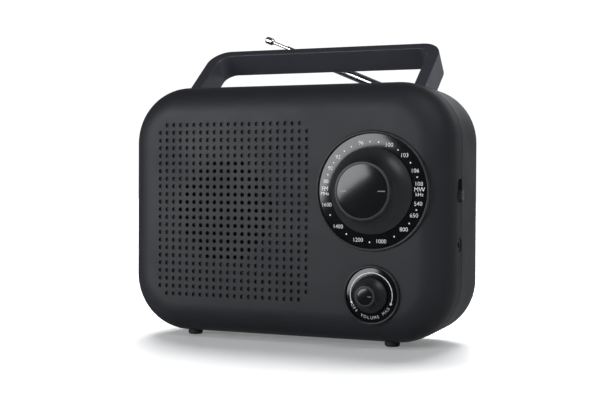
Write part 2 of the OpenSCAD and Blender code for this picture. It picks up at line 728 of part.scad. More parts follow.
module speaker_frame() color("#a9acb0") case_frame() facing_back(speaker_x, 0, flange_y) difference() {
    depth = magnet_y - flange_y;
    turned() polygon([[speaker_r - 4.2, 0], [speaker_r, 0], [speaker_r, flange_t],
        [speaker_r - 3.2, flange_t], [basket_r, depth], [coil_r + 1, depth],
        [coil_r + 1, depth - 1], [basket_r - 0.8, depth - 1], [speaker_r - 4.2, flange_t - 0.2]]);
    for (i = [0:3]) rotate([0, 0, 45 + i * 90]) translate([basket_r + 1.5, -8, 4])
        cube([speaker_r, 16, depth - 6.5]);
}

module speaker_surround() color("#202022") case_frame()
    facing_back(speaker_x, 0, flange_y + flange_t) turned() polygon(concat(
        arc(cone_r + roll_r, 0, roll_r, 180, 360, 8),
        arc(cone_r + roll_r, 0, roll_r - 0.4, 360, 180, 8)));

// The cone's paper, from its rim to the voice coil's former
cone_t = 0.4;
cone_depth = 8.6;
module speaker_cone() color("#2a2a2c") case_frame()
    facing_back(speaker_x, 0, flange_y + flange_t) turned() polygon([
        [cone_r, 0], [cone_r, cone_t], [coil_r, cone_depth + cone_t], [coil_r, 15],
        [coil_r - cone_t, 15], [coil_r - cone_t, cone_depth], [cone_r - 2 * cone_t, 0]]);

// The domed cap that closes the cone's neck, just in front of the paper
dust_r = coil_r + 1.3;
dust_rise = 2.8;
module speaker_dust_cap() color("#333335") case_frame()
    facing_back(speaker_x, 0, flange_y + flange_t) turned() {
    slope = cone_depth / (cone_r - coil_r - cone_t);
    edge = (cone_r - 2 * cone_t - dust_r) * slope - cone_t;
    dome_r = (dust_r * dust_r + dust_rise * dust_rise) / (2 * dust_rise);
    a = asin(dust_r / dome_r);
    polygon(concat(
        arc(0, edge - dust_rise + dome_r, dome_r, -90, -90 + a, 8),
        arc(0, edge - dust_rise + dome_r, dome_r - cone_t, -90 + a, -90, 8)));
}

module speaker_magnet() color("#5a5c60") case_frame() facing_back(speaker_x, 0, magnet_y) difference() {
    len = speaker_d - (magnet_y - flange_y);
    union() {
        cylinder(r = basket_r - 2, h = len - 1.6);
        translate([0, 0, len - 1.6]) cylinder(r = basket_r - 3, h = 1.6);
    }
    difference() {
        translate([0, 0, -eps]) cylinder(r = coil_r + 0.8, h = len - 1.6);
        translate([0, 0, -eps]) cylinder(r = coil_r - 0.9, h = len);
    }
}

module speaker_clamps() color("#b0b3b8") case_frame()
    for (a = clamp_angles) facing_back(speaker_x, 0, flange_y + flange_t) rotate([0, 0, -a]) difference() {
        translate([speaker_r - 2.5, -3.5, 0]) cube([11, 7, clamp_t]);
        translate([clamp_r, 0, -eps]) cylinder(r = small_screw_r + 0.1, h = 4);
    }

// A small pan-head screw at the origin that points down its own -Z
module small_screw(l) {
    translate([0, 0, -l]) cylinder(r = small_screw_r, h = l + 0.1);
    difference() {
        cylinder(r = 2.3, h = 1.5);
        for (a = [0, 90]) rotate([0, 0, a]) translate([0, 0, 1.6]) cube([2.8, 0.6, 1.2], center = true);
    }
}

module speaker_screws() color("#8c8f94") case_frame()
    for (a = clamp_angles)
        facing_back(speaker_x + clamp_r * cos(a), clamp_r * sin(a), flange_y + flange_t + clamp_t)
        small_screw(flange_y + flange_t + clamp_t - wall - 0.5);

module main_board() color("#2f6b3c") case_frame() difference() {
    union() {
        box([board_x0, board_y, board_z0], [board_x1, board_y + board_t, board_z1]);
        box([board_x1 - 1, board_y, boss_low + boss_r + 5.5],
            [tab_x, board_y + board_t, boss_top - boss_r - 5.5]);
    }
    for (p = posts) facing_back(p.x, p.y, board_y - eps)
        cylinder(r = small_screw_r + 0.15, h = board_t + 2 * eps);
}

module board_screws() color("#8c8f94") case_frame()
    for (p = posts) facing_back(p.x, p.y, board_y + board_t) small_screw(8);

module on_board(x, z) translate([x, board_y, z]) rotate([90, 0, 0]) children();

module radio_chips() color("#161618") case_frame() {
    on_board(board_x0 + 18, -12) translate([-9, -3.7, 0]) cube([18, 7.4, 3.2]);
    on_board(board_x0 + 22, -volume_z - 6) translate([-9.5, -3.7, 0]) cube([19, 7.4, 3.2]);
}

module board_capacitors() color("#1f3f78") case_frame() {
    on_board(board_x0 + 8, -30) cylinder(r = 5, h = 13);
    on_board(board_x0 + 22, -30) cylinder(r = 4, h = 11);
    on_board(board_x0 + 8, -44) cylinder(r = 4, h = 11);
    on_board(board_x0 + 64, -24) cylinder(r = 3.2, h = 9);
}

module coil_cans() color("#c4c6ca") case_frame()
    for (i = [0:2]) on_board(board_x0 + 12, 2 + i * 12) difference() {
        translate([-4, -4, 0]) cube([8, 8, 10]);
        translate([0, 0, 9]) cylinder(r = 1.8, h = 3);
    }

module ferrite_rod() color("#3b3632") case_frame()
    facing_right(board_x0 + 3, rod_y, rod_z) cylinder(r = rod_r, h = board_x1 - board_x0 - 6);

module ferrite_coil() color("#b5713a") case_frame() facing_right(board_x0 + 20, rod_y, rod_z) difference() {
    cylinder(r = rod_r + 1.2, h = 16);
    translate([0, 0, -eps]) cylinder(r = rod_r + fit, h = 20);
}

module ferrite_holders() color("#e4e2da") case_frame()
    for (x = [board_x0 + 10, board_x1 - 13]) difference() {
        box([x, rod_y - rod_r - 2, rod_z - rod_r - 1], [x + 5, board_y, rod_z + rod_r + 1]);
        facing_right(x - eps, rod_y, rod_z) cylinder(r = rod_r + fit, h = 10);
    }

module transformer_core() color("#6f7276") case_frame() difference() {
    box([core_mid_x - core_w / 2, core_y, core_mid_z - core_h / 2],
        [core_mid_x + core_w / 2, core_y + core_t, core_mid_z + core_h / 2]);
    for (s = [-1, 1]) translate([core_mid_x + s * core_leg * 1.5, core_y + core_t / 2, core_mid_z])
        cube([core_leg, core_t + 2 * eps, core_h - 2 * core_leg], center = true);
    for (p = transformer_holes()) facing_back(p.x, p.y, core_y - eps)
        cylinder(r = small_screw_r + 0.2, h = core_t + 2 * eps);
}

module transformer_coil() color("#c8a45a") case_frame()
    translate([core_mid_x, core_y + core_t / 2, core_mid_z]) difference() {
        cube([core_leg * 4 - 0.6, core_t + 8, core_h - 2 * core_leg - 0.6], center = true);
        cube([core_leg * 2 + 0.4, core_t + 0.4, core_h], center = true);
    }

module transformer_screws() color("#8c8f94") case_frame()
    for (p = transformer_holes()) facing_front(p.x, p.y, core_y) small_screw(core_t + 5);

module inlet_slot(l) linear_extrude(l) {
    square([inlet_pin_gap, 2 * inlet_lobe_r], center = true);
    for (x = [-1, 1]) translate([x * inlet_pin_gap / 2, 0]) circle(r = inlet_lobe_r);
}

module mains_inlet() color("#1a1a1c") case_frame()
    facing_back(inlet_x, inlet_z, case_d - inlet_d + 1) difference() {
    union() {
        translate([-inlet_w / 2, -inlet_h / 2, 0]) cube([inlet_w, inlet_h, inlet_d - 0.5]);
        translate([-inlet_w / 2 - 2, -inlet_h / 2 - 2, inlet_d - 1]) cube([inlet_w + 4, inlet_h + 4, 1.4]);
    }
    translate([0, 0, inlet_d - 15]) inlet_slot(20);
    for (x = [-1, 1]) translate([x * inlet_pin_gap / 2, 0, -eps]) cylinder(r = 1.23, h = inlet_d);
}

module mains_inlet_pins() color("#d0b060") case_frame()
    for (x = [-1, 1]) facing_back(inlet_x + x * inlet_pin_gap / 2, inlet_z, case_d - inlet_d - 3)
        cylinder(r = 1.2, h = inlet_d + 1);

// Battery contacts: in each row a spring at one end and a flat plate at the other
row_z = [for (i = [0, 1]) bay_z + bay_h / 2 + (i - 0.5) * (cell_d + 1.4)];
cell_y = bay_y + cell_d / 2 + 0.4;
spring_turns = 3;
spring_l = 7;
function spring_path(n = 16) = [for (i = [0:spring_turns * n])
    let (t = i / (spring_turns * n), r = 7 - 3.4 * t, a = 360 * i / n)
        [0.6 + spring_l * t, r * cos(a), r * sin(a)]];

// A tube of radius r along a list of points
function unit(v) = v / norm(v);
function side(t) = unit(cross(t, abs(t.z) < 0.9 ? [0, 0, 1] : [1, 0, 0]));
module tube(path, r, sides = 8) {
    n = len(path);
    dir = [for (i = [0:n - 1]) unit(path[min(i + 1, n - 1)] - path[max(i - 1, 0)])];
    points = [for (i = [0:n - 1]) let (u = side(dir[i]), v = cross(dir[i], u))
        for (j = [0:sides - 1]) path[i] + r * (cos(360 * j / sides) * u + sin(360 * j / sides) * v)];
    faces = concat(
        [[for (j = [0:sides - 1]) j]],
        [for (i = [0:n - 2]) for (j = [0:sides - 1]) for (half = [0, 1]) let (k = (j + 1) % sides, m = i + 1)
            half == 0 ? [i * sides + k, i * sides + j, m * sides + j]
                : [i * sides + k, m * sides + j, m * sides + k]],
        [[for (j = [sides - 1:-1:0]) (n - 1) * sides + j]]);
    polyhedron(points, faces);
}

// The ends of the two rows: [row, which end]
module row_end(row, end) translate([bay_x + end * bay_l / 2, cell_y, row_z[row]])
    rotate([0, 0, end > 0 ? 180 : 0]) children();

module battery_springs() color("#c8cacc") case_frame() for (row = [0, 1])
    row_end(row, row == 0 ? -1 : 1) tube(spring_path(), 0.45, 6);

module battery_contacts() color("#c8cacc") case_frame() for (row = [0, 1]) for (end = [-1, 1])
    row_end(row, end) translate([0, -8, -8]) cube([0.15, 16, 16]);

// Antenna, in the frame of its hinge: Z along the antenna, X across it to the rear
module antenna_frame() case_frame() translate([antenna_x, antenna_y, antenna_z])
    rotate([0, antenna_rise - 90, 0]) children();

module antenna_swivel() color("#b9bcc2") {
    case_frame() difference() {
        union() {
            facing_back(antenna_x, antenna_z, case_d + swivel_pad + 0.3)
                cylinder(r = swivel_r - 0.5, h = swivel_t);
            facing_back(antenna_x, antenna_z, rear_inner - 1.8)
                cylinder(r = spindle_r, h = swivel_pad + wall + 2.5);
        }
        facing_back(antenna_x, antenna_z, rear_inner - 3) cylinder(r = small_screw_r + fit, h = 7);
    }
    antenna_frame() for (s = [-1, 1]) difference() {
        translate([s * (tang_t / 2 + 0.1 + cheek_t / 2), 0, 0]) union() {
            rotate([0, 90, 0]) cylinder(r = hinge_r, h = cheek_t, center = true);
            translate([-cheek_t / 2, case_d + swivel_pad + swivel_t + 0.2 - antenna_y, -hinge_r])
                cube([cheek_t, antenna_y - case_d - swivel_pad - swivel_t - 0.2, 2 * hinge_r]);
        }
        rotate([0, 90, 0]) cylinder(r = 1.03, h = 20, center = true);
    }
}

module antenna_screw() color("#8c8f94") case_frame() facing_front(antenna_x, antenna_z, rear_inner - 1.8) {
    small_screw(4.5);
    difference() {
        cylinder(r = spindle_r + 1.6, h = 0.8);
        cylinder(r = 2, h = 3, center = true);
    }
}

module antenna_pin() color("#9a9da2") antenna_frame() rotate([0, 90, 0])
    cylinder(r = 1, h = tang_t + 2 * cheek_t + 1, center = true);

// Where section i starts and ends along the antenna, and how wide it is
function tube_d(i) = antenna_d - i * tube_step;
function tube_end(i) = tube_start + antenna_l + (i == 0 ? 0 : tube_end_sum(i));
function tube_end_sum(i) = i == 0 ? 0 : tube_out[i] + tube_end_sum(i - 1);
function tube_l(i) = antenna_l - (i == 0 ? 0 : tube_plug + 2 + i * section_step);

module antenna_section(i) antenna_frame() translate([0, 0, tube_end(i) - tube_l(i)]) difference() {
    cylinder(d = tube_d(i), h = tube_l(i));
    translate([0, 0, i == 0 ? tube_plug : -eps])
        cylinder(d = tube_d(i) - 2 * antenna_wall, h = tube_l(i) + 2 * eps);
}

module antenna_tube_1() color("#d5d7da") {
    antenna_section(0);
    antenna_frame() difference() {
        union() {
            translate([-tang_t / 2, -hinge_r, 0]) cube([tang_t, 2 * hinge_r, tube_start + 0.5]);
            rotate([0, 90, 0]) cylinder(r = hinge_r, h = tang_t, center = true);
        }
        rotate([0, 90, 0]) cylinder(r = 1 + fit, h = 20, center = true);
    }
}
module antenna_tube_2() color("#d5d7da") antenna_section(1);
module antenna_tube_3() color("#d5d7da") antenna_section(2);
module antenna_tube_4() color("#d5d7da") antenna_section(3);
module antenna_rod() color("#d5d7da") antenna_frame()
    translate([0, 0, tube_end(4) - tube_l(4)]) cylinder(d = tube_d(4), h = tube_l(4));
module antenna_tip() color("#e0e2e4") antenna_frame() translate([0, 0, tube_end(4)]) turned()
    polygon(concat([[0, 0], [1.6, 0], [2.3, 1.2]], arc(1.1, tip_l - 1.2, 1.2, 0, 90, 6), [[0, tip_l]]));

// Hook-up leads inside the case, along points in the case's frame
lead_r = 0.6;
module speaker_leads() color("#b03030") case_frame() for (s = [0, 1]) translate([0, 0, s * 4])
    tube([[16, board_y - 0.1, -34], [14, 25, -34], [9, 22, -33], [2, 19, -31], [-4, 17, -27], [-9, 15.5, -22],
        [-11, 15, -19]], lead_r);

module battery_leads() color("#303030") case_frame() for (s = [0, 1]) translate([s * 3, 0, 0])
    tube([[40, bay_y - 2.1, -20], [40, 34.6, -20], [40, 33.6, -18], [40, 32.6, -12], [40, 31.6, -10],
        [40, board_y + board_t + 0.1, -10]], lead_r);

module antenna_lead() color("#d0d0d0") case_frame()
    tube([[66, board_y + board_t + 0.1, 30], [66, 36, 32], [66, 44, 38], [66, 52, 46], [69, 58, 51],
        [73, 61, 53.5]], lead_r);

module mains_leads() color("#6a4a2a") case_frame() for (s = [-1, 1]) {
    x = inlet_x + s * inlet_pin_gap / 2;
    coil_top = core_mid_z + core_h / 2 - core_leg - 0.3;
    tube([[x, 43.9, inlet_z], [x, 41.6, inlet_z - 1], [x, 40.2, inlet_z - 4], [x, 39.6, inlet_z - 10],
        [x, 40.2, inlet_z - 18], [x, 41.6, coil_top + 4], [x, 41.6, coil_top + 0.1]], lead_r);
}

front_case();
rear_case();
battery_door();
case_screws();
rubber_feet();
carry_handle();
handle_pins();
dial_bezel();
dial_scale();
tuning_knob();
tuning_knob_cap();
tuning_capacitor();
tuning_spindle();
volume_bezel();
volume_scale();
volume_knob();
volume_knob_cap();
volume_control();
volume_spindle();
band_switch();
band_switch_slider();
headphone_jack();
speaker_cloth();
speaker_gasket();
speaker_frame();
speaker_cone();
speaker_surround();
speaker_dust_cap();
speaker_magnet();
speaker_clamps();
speaker_screws();
main_board();
board_screws();
radio_chips();
board_capacitors();
coil_cans();
ferrite_rod();
ferrite_coil();
ferrite_holders();
transformer_core();
transformer_coil();
transformer_screws();
mains_inlet();
mains_inlet_pins();
battery_springs();
battery_contacts();
antenna_swivel();
antenna_screw();
antenna_pin();
antenna_tube_1();
antenna_tube_2();
antenna_tube_3();
antenna_tube_4();
antenna_rod();
antenna_tip();
speaker_leads();
battery_leads();
antenna_lead();
mains_leads();
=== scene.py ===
"""A tabletop radio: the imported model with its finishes, its dials' printing, floor and light."""

import json
from math import cos, pi, radians, sin

import bmesh
import bpy
from mathutils import Matrix, Vector
from mathutils.bvhtree import BVHTree


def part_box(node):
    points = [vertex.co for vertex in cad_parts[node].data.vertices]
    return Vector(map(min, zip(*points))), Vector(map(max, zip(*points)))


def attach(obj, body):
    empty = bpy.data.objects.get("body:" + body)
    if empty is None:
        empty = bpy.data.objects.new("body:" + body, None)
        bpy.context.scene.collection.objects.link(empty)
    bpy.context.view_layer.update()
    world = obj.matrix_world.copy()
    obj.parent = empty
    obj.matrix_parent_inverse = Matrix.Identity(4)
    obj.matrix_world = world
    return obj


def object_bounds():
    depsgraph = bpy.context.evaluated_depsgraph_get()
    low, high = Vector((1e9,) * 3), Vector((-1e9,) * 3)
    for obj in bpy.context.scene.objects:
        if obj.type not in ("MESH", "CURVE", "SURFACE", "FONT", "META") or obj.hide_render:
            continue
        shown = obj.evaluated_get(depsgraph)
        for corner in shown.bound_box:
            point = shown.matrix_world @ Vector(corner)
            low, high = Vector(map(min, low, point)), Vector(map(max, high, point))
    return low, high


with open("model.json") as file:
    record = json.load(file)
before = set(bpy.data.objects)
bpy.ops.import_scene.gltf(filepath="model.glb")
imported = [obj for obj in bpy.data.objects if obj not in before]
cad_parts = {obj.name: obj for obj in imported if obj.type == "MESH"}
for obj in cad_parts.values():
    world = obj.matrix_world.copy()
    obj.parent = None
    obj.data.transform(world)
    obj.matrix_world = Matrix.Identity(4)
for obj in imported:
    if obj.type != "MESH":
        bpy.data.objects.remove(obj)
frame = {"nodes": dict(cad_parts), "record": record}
cad_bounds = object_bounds()
nodes = frame["nodes"]
MM = 0.001


# ---------------------------------------------------------------- materials
class Shader:
    """A node material made a node at a time; its Principled node is self.surface."""

    def __init__(self, name):
        self.name = name
        self.material = bpy.data.materials.new(name)
        self.material.use_nodes = True
        self.tree = self.material.node_tree
        self.surface = self.tree.nodes["Principled BSDF"]
        self.place = self.add("ShaderNodeTexCoord").outputs["Object"]

    def add(self, kind, inputs=(), **settings):
        node = self.tree.nodes.new(kind)
        for key, value in settings.items():
            setattr(node, key, value)
        for key, value in dict(inputs).items():
            if isinstance(value, bpy.types.NodeSocket):
                self.tree.links.new(value, node.inputs[key])
            else:
                node.inputs[key].default_value = value
        return node

    def set(self, **values):
        for key, value in values.items():
            name = key.replace("_", " ")
            if isinstance(value, bpy.types.NodeSocket):
                self.tree.links.new(value, self.surface.inputs[name])
            else:
                self.surface.inputs[name].default_value = value

    def noise(self, size, detail=2.0):
        """Noise from 0 to 1 with lumps of a size in mm."""
        inputs = {"Vector": self.place, "Scale": 1 / (size * MM), "Detail": detail}
        return self.add("ShaderNodeTexNoise", inputs).outputs["Fac"]

    def bands(self, pitch, direction):
        """Even ridges across one axis, pitch in mm."""
        inputs = {"Vector": self.place, "Scale": 2 * pi / 20 / (pitch * MM)}
        return self.add("ShaderNodeTexWave", inputs, bands_direction=direction).outputs["Fac"]

    def spread(self, value, low, high, start=0.0, end=1.0):
        return self.add(
            "ShaderNodeMapRange",
            {"Value": value, "From Min": start, "From Max": end, "To Min": low, "To Max": high},
        ).outputs[0]

    def mix(self, factor, a, b):
        node = self.add("ShaderNodeMix", data_type="RGBA")
        for index, value in ((0, factor), (6, a), (7, b)):
            if isinstance(value, bpy.types.NodeSocket):
                self.tree.links.new(value, node.inputs[index])
            else:
                node.inputs[index].default_value = value
        return node.outputs[2]

    def math(self, operation, a, b):
        return self.add("ShaderNodeMath", {0: a, 1: b}, operation=operation).outputs[0]

    def rounded(self, radius):
        """The normal of the surface with its sharp edges eased to a radius in mm."""
        return self.add("ShaderNodeBevel", {"Radius": radius * MM}, samples=4).outputs[0]

    def bump(self, height, depth, normal=None):
        inputs = {"Height": height, "Distance": depth * MM, "Strength": 1.0}
        if normal is not None:
            inputs["Normal"] = normal
        return self.add("ShaderNodeBump", inputs).outputs[0]

    def edges(self, eased):
        """1 along sharp edges, 0 elsewhere: the mask of a painted edge highlight."""
        flat = self.add("ShaderNodeNewGeometry").outputs["Normal"]
        dot = self.add("ShaderNodeVectorMath", {0: eased, 1: flat}, operation="DOT_PRODUCT")
        return self.spread(dot.outputs["Value"], 0.0, 1.0, 0.98, 0.7)


def shade(colour, by):
    return tuple(c * by for c in colour[:3]) + (1.0,)


def plain(
    slot, colour, roughness, metallic=0.0, grain=0.4, depth=0.004, mottle=0.08, patch=25.0,
    rough_spread=0.05, edge=0.0, ease=0.25, **sockets
):
    """A moulded, painted, rubber or metal finish: eased edges, fine grain, patches of tone; edge
    paints a highlight along sharp edges.
    """
    s = Shader(slot)
    eased = s.rounded(ease)
    patches = s.noise(patch, 3.0)
    tone = s.mix(patches, shade(colour, 1 - mottle), shade(colour, 1 + mottle))
    # painted highlight: along sharp edges the base colour is mixed towards three times as light, by
    # edge, for the light the edges catch
    if edge:
        tone = s.mix(s.math("MULTIPLY", s.edges(eased), edge), tone, shade(colour, 3.0))
    fine = s.noise(grain)
    gloss = s.math(
        "ADD",
        s.spread(fine, -rough_spread, rough_spread, 0.3, 0.7),
        s.spread(patches, roughness - rough_spread, roughness + rough_spread, 0.3, 0.7),
    )
    relief = s.bump(fine, depth, eased)
    s.set(Base_Color=tone, Roughness=gloss, Metallic=metallic, Normal=relief, **sockets)
    return s


def woven(slot, colour, pitch):
    """A plain weave of round yarns, seen along y, painted dark where the yarns sink and light on
    their crowns: painted shade and highlight.
    """
    s = Shader(slot)
    warp, weft = s.bands(pitch, "X"), s.bands(pitch, "Z")
    over = s.add("ShaderNodeTexChecker", {"Vector": s.place, "Scale": 2 / (pitch * MM)})
    height = s.mix(over.outputs["Fac"], warp, weft)
    s.set(
        # painted shade and highlight: low yarn a quarter as light as its colour, the crowns lighter
        # than it
        Base_Color=s.mix(height, shade(colour, 0.25), shade(colour, 1.3)),
        Roughness=s.spread(s.noise(1.5), 0.7, 0.95),
        Normal=s.bump(height, 0.12),
        Sheen_Weight=0.3,
    )
    return s


def wound(slot, colour, pitch, direction, roughness, metallic=0.0):
    """Wire or tape wound side by side across an axis, painted dark between the turns and light on
    their crowns: painted shade and highlight.
    """
    s = Shader(slot)
    turns = s.bands(pitch, direction)
    # painted shade and highlight: across each turn the colour runs from dark in its groove to light
    # on its crown
    tone = s.mix(turns, shade(colour, 0.3), shade(colour, 1.2))
    s.set(
        Base_Color=s.mix(s.spread(s.noise(2.0), 0.0, 0.4), tone, shade(colour, 0.7)),
        Roughness=s.spread(s.noise(1.0), roughness - 0.08, roughness + 0.08),
        Metallic=metallic,
        Normal=s.bump(turns, 0.12),
    )
    return s


def circuit_board(slot, colour):
    """Lacquer over a dark laminate, with the lighter lines of the copper tracks showing through."""
    s = Shader(slot)
    tracks = s.add(
        "ShaderNodeTexBrick",
        {
            "Vector": s.place, "Scale": 60.0,
            "Mortar Size": 0.02, "Brick Width": 0.9, "Row Height": 0.3,
            "Color1": (0, 0, 0, 1), "Color2": (0.2, 0.2, 0.2, 1), "Mortar": (1, 1, 1, 1),
        },
    ).outputs["Color"]
    s.set(
        Base_Color=s.mix(tracks, shade(colour, 0.8), shade(colour, 2.2)),
        Roughness=s.spread(s.noise(3.0), 0.25, 0.4),
        Normal=s.bump(tracks, 0.035, s.rounded(0.15)),
    )
    return s


CHARCOAL = (0.0148, 0.0158, 0.0200)
finishes = {
    s.name: s.material
    for s in (
        # edge lightens the base colour along sharp edges as a painted highlight, strongest on the
        # handle and the switch
        plain("case_front", CHARCOAL, 0.57, edge=0.3, ease=0.5),
        plain("case_rear", CHARCOAL, 0.50, edge=0.10, ease=0.35),
        plain("handle_plastic", shade(CHARCOAL, 1.25), 0.36, edge=1.0, ease=0.8, depth=0.003),
        plain("bezel_plastic", (0.022, 0.0225, 0.025), 0.3, ease=0.2, depth=0.001),
        plain("knob_plastic", (0.020, 0.0205, 0.023), 0.38, edge=0.10, ease=0.3, depth=0.002),
        plain("scale_gloss", (0.0025, 0.0026, 0.0036), 0.13, ease=0.1, depth=0.0,
              mottle=0.02, rough_spread=0.015),
        plain("cap_gloss", (0.005, 0.0052, 0.0062), 0.17, ease=0.15, depth=0.0,
              mottle=0.02, rough_spread=0.02),
        plain("switch_plastic", (0.03, 0.0305, 0.033), 0.3, edge=0.5, ease=0.3, depth=0.002),
        plain("foot_rubber", (0.014, 0.014, 0.0145), 0.75, grain=0.7, depth=0.02, ease=0.4),
        plain("antenna_chrome", (0.86, 0.87, 0.89), 0.07, 1.0, grain=0.5, depth=0.0, mottle=0.03,
              patch=12.0, rough_spread=0.02, ease=0.25),
        plain("zinc_steel", (0.60, 0.61, 0.60), 0.34, 1.0, grain=0.3, depth=0.003,
              mottle=0.14, patch=5.0),
        plain("tinned_steel", (0.72, 0.72, 0.70), 0.26, 1.0, grain=0.25, depth=0.002,
              mottle=0.12, patch=4.0),
        plain("brass", (0.78, 0.57, 0.28), 0.24, 1.0, grain=0.25, depth=0.001,
              mottle=0.10, patch=4.0),
        plain("capacitor_case", (0.62, 0.63, 0.66), 0.42, grain=0.3, depth=0.004, patch=6.0),
        plain("black_nylon", (0.013, 0.013, 0.014), 0.42, grain=0.5, depth=0.006),
        plain("white_nylon", (0.72, 0.71, 0.66), 0.45, grain=0.5, depth=0.006,
              Subsurface_Weight=0.15),
        woven("speaker_fabric", (0.010, 0.010, 0.011), 0.55),
        plain("speaker_foam", (0.020, 0.020, 0.021), 0.9, grain=0.35, depth=0.08,
              mottle=0.3, patch=0.8),
        plain("speaker_paper", (0.030, 0.029, 0.028), 0.85, grain=0.5, depth=0.03,
              mottle=0.2, patch=1.5),
        plain("ferrite", (0.035, 0.034, 0.035), 0.5, grain=0.15, depth=0.01, mottle=0.2, patch=1.0),
        circuit_board("board_green", (0.012, 0.085, 0.035)),
        plain("capacitor_sleeve", (0.016, 0.020, 0.060), 0.35, grain=0.8, depth=0.003),
        wound("copper_wire", (0.62, 0.23, 0.09), 0.30, "X", 0.3, 1.0),
        wound("winding_tape", (0.55, 0.42, 0.12), 2.2, "Z", 0.45),
        plain("lead_red", (0.33, 0.012, 0.010), 0.4, grain=0.5, depth=0.004),
        plain("lead_black", (0.010, 0.010, 0.011), 0.4, grain=0.5, depth=0.004),
        plain("lead_white", (0.68, 0.67, 0.63), 0.4, grain=0.5, depth=0.004),
        plain("lead_brown", (0.10, 0.035, 0.016), 0.4, grain=0.5, depth=0.004),
    )
}
ink = plain(
    "ink_white", (0.74, 0.75, 0.77), 0.45, grain=0.15, depth=0.002, ease=0.02, patch=3.0
).material
mark = plain(
    "mark_grey", (0.20, 0.20, 0.21), 0.4, grain=0.2, depth=0.002, ease=0.05, patch=3.0
).material


def smooth_group(angle):
    """Nodes that close a mesh's split corners and shade it smooth except at edges over an angle."""
    group = bpy.data.node_groups.new("smooth_by_angle", "GeometryNodeTree")
    group.interface.new_socket("Geometry", in_out="INPUT", socket_type="NodeSocketGeometry")
    group.interface.new_socket("Geometry", in_out="OUTPUT", socket_type="NodeSocketGeometry")
    new, link = group.nodes.new, group.links.new
    start, end = new("NodeGroupInput"), new("NodeGroupOutput")
    weld = new("GeometryNodeMergeByDistance")
    weld.inputs["Distance"].default_value = 0.001 * MM
    faces, sharp = new("GeometryNodeSetShadeSmooth"), new("GeometryNodeSetShadeSmooth")
    sharp.domain = "EDGE"
    sharp.inputs["Shade Smooth"].default_value = False
    turn, above = new("GeometryNodeInputMeshEdgeAngle"), new("FunctionNodeCompare")
    above.inputs[1].default_value = radians(angle)
    link(turn.outputs["Unsigned Angle"], above.inputs[0])
    link(start.outputs[0], weld.inputs["Geometry"])
    link(weld.outputs[0], faces.inputs["Geometry"])
    link(faces.outputs[0], sharp.inputs["Geometry"])
    link(above.outputs[0], sharp.inputs["Selection"])
    link(sharp.outputs[0], end.inputs[0])
    return group


SHARP_ANGLE = 28
smooth = smooth_group(SHARP_ANGLE)
subparts = frame["record"]["subparts"]
slot_of = {row["node"]: row.get("material_slot", row["node"]) for row in subparts}
for name, node in nodes.items():
    node.data.materials.clear()
    node.data.materials.append(finishes[slot_of[name]])
    for layer in [a.name for a in node.data.attributes if a.name == "custom_normal"]:
        node.data.attributes.remove(node.data.attributes[layer])
    node.modifiers.new("smooth", "NODES").node_group = smooth


# ---------------------------------------------------------------- printing and marks
def middle(node):
    low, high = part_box(node)
    return (low + high) / 2


def front_of(name):
    """A function that gives the y of a node's front at x, z."""
    mesh = nodes[name].data
    tree = BVHTree.FromPolygons([v.co for v in mesh.vertices], [p.vertices for p in mesh.polygons])
    start = cad_bounds[0][1] - 0.1
    return lambda x, z: tree.ray_cast(Vector((x, start, z)), Vector((0, 1, 0)))[0].y


INK = 0.03 * MM  # thickness of the printing
CAPITAL = 0.73  # height of a capital, as a part of the font's size


def glyphs(text, size, thin=0.012):
    """A mesh of a line of text about 0 in x and y, its capitals size mm high."""
    curve = bpy.data.curves.new("line", "FONT")
    curve.offset = -thin * size * MM
    curve.body, curve.size = text, size * MM / CAPITAL
    curve.align_x, curve.align_y = "CENTER", "CENTER"
    curve.resolution_u = 3
    curve.extrude = INK / 2
    holder = bpy.data.objects.new("line", curve)
    bpy.context.scene.collection.objects.link(holder)
    bpy.context.view_layer.update()
    graph = bpy.context.evaluated_depsgraph_get()
    mesh = bpy.data.meshes.new_from_object(holder.evaluated_get(graph))
    bpy.data.objects.remove(holder)
    bpy.data.curves.remove(curve)
    return mesh


